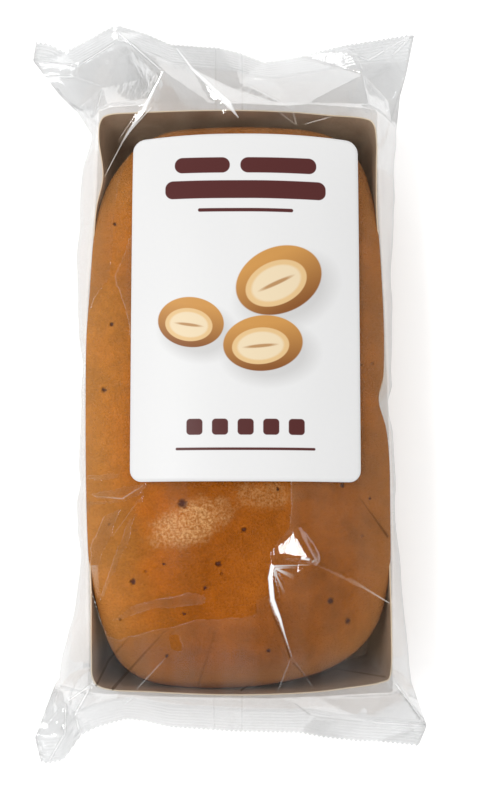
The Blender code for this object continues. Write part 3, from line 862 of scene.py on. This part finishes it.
def make_film_look():
    look = Look("clear_film")
    look.tree.nodes.remove(look.shader)
    where = look.add("TexCoord").outputs["Object"]
    uv = look.add("UVMap", uv_map="film").outputs[0]
    seal_place = look.add("SeparateXYZ", {0: uv})
    inward = seal_place.outputs["Y"]
    round_share = look.math("ABSOLUTE", seal_place.outputs["X"])

    def read(name):
        return look.add("Attribute", attribute_name=name).outputs["Fac"]

    def times(a, b):
        return look.math("MULTIPLY", a, b)

    def without(a):
        return look.math("SUBTRACT", 1, a)

    fray = look.math("SUBTRACT", look.noise(where, 500), 0.5)
    wet_depth = look.math("ADD", read("wet"), times(fray, 0.8))
    wet = look.stepped(wet_depth, -0.15, 0.25)
    dry = without(wet)
    # A pale painted highlight along the edge of the wet places.
    meniscus_highlight = times(look.stepped(wet_depth, -0.6, -0.2), dry)

    # Painted highlights and shade: white lines and flats on the creases, dark lines on the dark creases, a
    # painted shade band beside every crease, and a painted shade rim where the film turns at its sides.
    show = read("crease_show")
    middle = look.math("ABSOLUTE", read("crease_side"))
    thin = look.stepped(middle, 0.55, 1.45, 1, 0)
    beside = times(look.stepped(middle, 1.4, 2.0), look.stepped(middle, 2.3, 3.6, 1, 0))
    broad = look.stepped(look.math("ABSOLUTE", read("broad_side")), 0.6, 1.3, 1, 0)
    broad = times(broad, read("broad_show"))
    turned_edge_shade = look.stepped(round_share, 0.982, 1.0, 0, 0.13)
    painted_highlight = look.math("MAXIMUM", times(thin, look.math("MAXIMUM", show, 0)), broad)
    painted_shade = times(thin, times(show, -1))
    for more in (times(beside, times(look.math("ABSOLUTE", show), 0.35)), times(broad, -1), turned_edge_shade):
        painted_shade = look.math("MAXIMUM", painted_shade, more)

    def drawn_out(scale, turn):
        """Cloudy noise, stretched along the film."""
        inputs = {"Vector": where, "Rotation": (0, 0, turn), "Scale": scale}
        return look.noise(look.add("Mapping", inputs).outputs[0], 1, 3)

    ripples = drawn_out((150, 38, 90), 0.3)
    in_seal = look.stepped(inward, SEAL_WIDTH - 0.6, SEAL_WIDTH, 1, 0)
    ribs = times(look.math("SINE", times(inward, math.tau / SEAL_RIB)), in_seal)
    loose = look.math("ADD", times(dry, 0.85), 0.15)
    height = look.math("ADD", times(ripples, loose), times(ribs, 0.05))
    height = look.math("ADD", height, times(times(look.noise(where, 1300), wet), 0.16))
    normal = look.bump(height, 0.5, 0.0010)

    over_tray = times(look.stepped(inward, 28, 38), look.stepped(round_share, 0.68, 0.74, 1, 0))
    tint = look.mixed(over_tray, FILM_TINT, FILM_TINT_ON_TRAY)
    off_lines = look.math("SUBTRACT", 1, painted_highlight, True)
    greasy = look.mixed(times(over_tray, off_lines), HAZE_AND_HIGHLIGHT_WHITE, HAZE_GREASY)
    clear = look.add("BsdfTransparent", {"Color": tint})
    haze = look.add("BsdfPrincipled", {"Base Color": greasy, "Roughness": 0.6})
    gloss = look.add("BsdfPrincipled", {
        "Base Color": (1, 1, 1, 1), "Metallic": 1, "Roughness": 0.08, "Normal": normal})
    shade = look.add("BsdfPrincipled", {
        "Base Color": CREASE_SHADE, "Roughness": 0.6, "Specular IOR Level": 0.0})

    fresnel = look.add("Fresnel", {"IOR": 1.45, "Normal": normal}).outputs[0]
    glint = times(fresnel, look.math("ADD", 0.05, times(dry, 2.05)))
    shine = times(look.math("MINIMUM", glint, 0.30), without(times(in_seal, 0.5)))
    patchy = look.stepped(ripples, 0.5, 0.6, 0, 0.04)
    # The dry film's pale veil is partly its own haze, partly a painted reflection of the bright tent, which
    # the gloss does not see.
    haze_and_sheen = look.stepped(drawn_out((110, 22, 40), -0.75), 0.35, 0.65, 0.018, 0.042)
    rib_light = times(look.math("ADD", ribs, 1.0), 0.03)
    off_seam = look.math("ABSOLUTE", read("back_seam"))
    on_seam = look.stepped(off_seam, 5.4, 5.8, 1, 0)
    seam_edge = times(look.stepped(off_seam, 4.9, 5.3), on_seam)
    veil = times(dry, haze_and_sheen)
    for more in (times(meniscus_highlight, patchy), times(in_seal, look.math("ADD", rib_light, 0.02)),
                 times(on_seam, 0.05), times(seam_edge, 0.12)):
        veil = look.math("ADD", veil, more)
    # The painted highlights go into the veil as white haze.
    veil = look.math("ADD", veil, times(painted_highlight, 0.45), True)

    def over(factor, below, above):
        return look.add("MixShader", {"Fac": factor, 1: below.outputs[0], 2: above.outputs[0]})

    hazed = over(veil, clear, haze)
    lined = over(look.math("MULTIPLY", painted_shade, 0.55, True), hazed, shade)
    shone = over(shine, lined, gloss)
    across = look.add("SeparateXYZ", {0: where}).outputs["X"]
    tooth = look.math("PINGPONG", times(across, 1 / MM), TOOTH_DEPTH)
    cut = over(look.math("LESS_THAN", inward, tooth), shone, look.add("BsdfTransparent"))
    look.feed(look.tree.nodes["Material Output"], {"Surface": cut.outputs[0]})
    return look.material


film = add_piece("film_bag", make_film_mesh(), make_film_look())
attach(film, "root")
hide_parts("bag")


# The label is a satin white paper sticker with round corners, laid over the film on the crown.
# Its print is a plain one of bars, nuts and dots in maroon and browns.
LABEL_X = (-39.5, 47.0)
LABEL_Y = (-33.5, 100.6)
LABEL_MIDDLE = (sum(LABEL_X) / 2, sum(LABEL_Y) / 2)
LABEL_HALF = ((LABEL_X[1] - LABEL_X[0]) / 2, (LABEL_Y[1] - LABEL_Y[0]) / 2)
LABEL_CORNER = 4.5
LABEL_FAR_DROOP = 2.4
LABEL_LIFT, LABEL_THICKNESS = 0.85, 0.14
MAROON = (0.088, 0.018, 0.017)
# The print's bars: middle, half sizes and corner radius in mm from the label's middle.
BARS = (
    (-16.5, 53.5, 10.5, 3.2, 3.0), (12.5, 53.5, 14.5, 3.2, 3.0), (0, 43.6, 30.5, 3.6, 3.0),
    (0, 35.4, 18.0, 0.7, 0.7), (0, -55.0, 26.0, 0.5, 0.5),
    *((x, -46.8, 3.0, 3.0, 1.4) for x in (0, -9.5, 9.5, -19, 19)),
)
# The print's nuts: middle, half sizes and turn.
NUTS = ((12.5, 8.5, 17.0, 12.5, 0.45), (-20.5, -7.5, 12.5, 9.5, -0.15), (6.5, -15.5, 15.0, 10.5, 0.1))
NUT_SHADE = (0.50, 0.495, 0.49)
NUT_DARK, NUT_LIGHT = (0.22, 0.075, 0.014), (0.50, 0.24, 0.055)
# A nut's kernel, from its rim to the crack in it: size across and along, where its edge starts and
# ends, and colour.
KERNEL = (
    (0.72, 0.66, 0.97, 1.01, (0.62, 0.42, 0.20)), (0.60, 0.52, 0.9, 1.02, (0.66, 0.54, 0.36)),
    (0.44, 0.07, 0.6, 1.1, (0.40, 0.22, 0.09)),
)


def label_point(u, v):
    """A point of the label's sheet, u and v from -1 to 1 across and along it."""
    half_x, half_y = LABEL_HALF
    x, y = u * half_x, v * half_y
    cx, cy = abs(x) - (half_x - LABEL_CORNER), abs(y) - (half_y - LABEL_CORNER)
    if cx > 0 and cy > 0:
        p, q = cx / LABEL_CORNER, cy / LABEL_CORNER
        x = math.copysign(half_x - LABEL_CORNER + LABEL_CORNER * p * math.sqrt(1 - q * q / 2), x)
        y = math.copysign(half_y - LABEL_CORNER + LABEL_CORNER * q * math.sqrt(1 - p * p / 2), y)
    y -= LABEL_FAR_DROOP * soft_step(v) * (x / half_x) ** 2
    return x + LABEL_MIDDLE[0], y + LABEL_MIDDLE[1]


def make_label_mesh():
    label = bmesh.new()
    print_map = label.loops.layers.uv.new("print")
    bmesh.ops.create_grid(label, x_segments=58, y_segments=88, size=1)
    for vert in label.verts:
        x, y = label_point(vert.co.x, vert.co.y)
        wave = 0.25 * noise.noise(Vector((x / 18, y / 18, 4.4)))
        for loop in vert.link_loops:
            loop[print_map].uv = (x - LABEL_MIDDLE[0], y - LABEL_MIDDLE[1])
        vert.co = Vector((x, y, crown_height(x, y) + LABEL_LIFT + wave)) * MM
    bmesh.ops.solidify(label, geom=list(label.faces), thickness=-LABEL_THICKNESS * MM)
    return label


def make_label_look():
    look = Look("printed_paper")
    place = look.add("UVMap", uv_map="print").outputs[0]

    def printed(distance, low, high, colour, over):
        """Lays a colour over the print where a distance is under its limit."""
        return look.mixed(look.graded(distance, high, low), over, colour)

    paper = look.noise(place, 0.5)
    colour = look.mixed(paper, (0.625, 0.625, 0.625), (0.640, 0.638, 0.635))
    for x, y, half_x, half_y, round_by in BARS:
        off = look.vector("ABSOLUTE", look.vector("SUBTRACT", place, (x, y, 0)))
        off = look.vector("SUBTRACT", off, (half_x - round_by, half_y - round_by, 0))
        reach = look.vector("LENGTH", look.vector("MAXIMUM", off, (0, 0, 0)))
        colour = printed(reach, round_by - 0.12, round_by + 0.12, MAROON, colour)
    for x, y, half_x, half_y, turn in NUTS:
        cast = look.oval(place, (x + 3, y - 4), (half_x * 1.15, half_y * 1.1), turn)[1]
        colour = printed(cast, 0.7, 1.15, NUT_SHADE, colour)
    for x, y, half_x, half_y, turn in NUTS:
        inner, reach = look.oval(place, (x, y), (half_x, half_y), turn)
        up = look.add("SeparateXYZ", {0: inner}).outputs["Y"]
        skin = look.mixed(look.graded(up, -0.9, 0.7), NUT_DARK, NUT_LIGHT)
        colour = printed(reach, 0.98, 1.01, skin, colour)
        middle = (x - 0.06 * half_x, y - 0.1 * half_y)
        for size_x, size_y, low, high, tone in KERNEL:
            reach = look.oval(place, middle, (half_x * size_x, half_y * size_y), turn)[1]
            colour = printed(reach, low, high, tone, colour)

    look.feed(look.shader, {
        "Base Color": colour, "Normal": look.bump(paper, 0.08, 0.0002), "Roughness": 0.42,
        "Specular IOR Level": 0.35,
    })
    return look.material


label = add_piece("paper_label", make_label_mesh(), make_label_look())
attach(label, "root")
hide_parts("label")
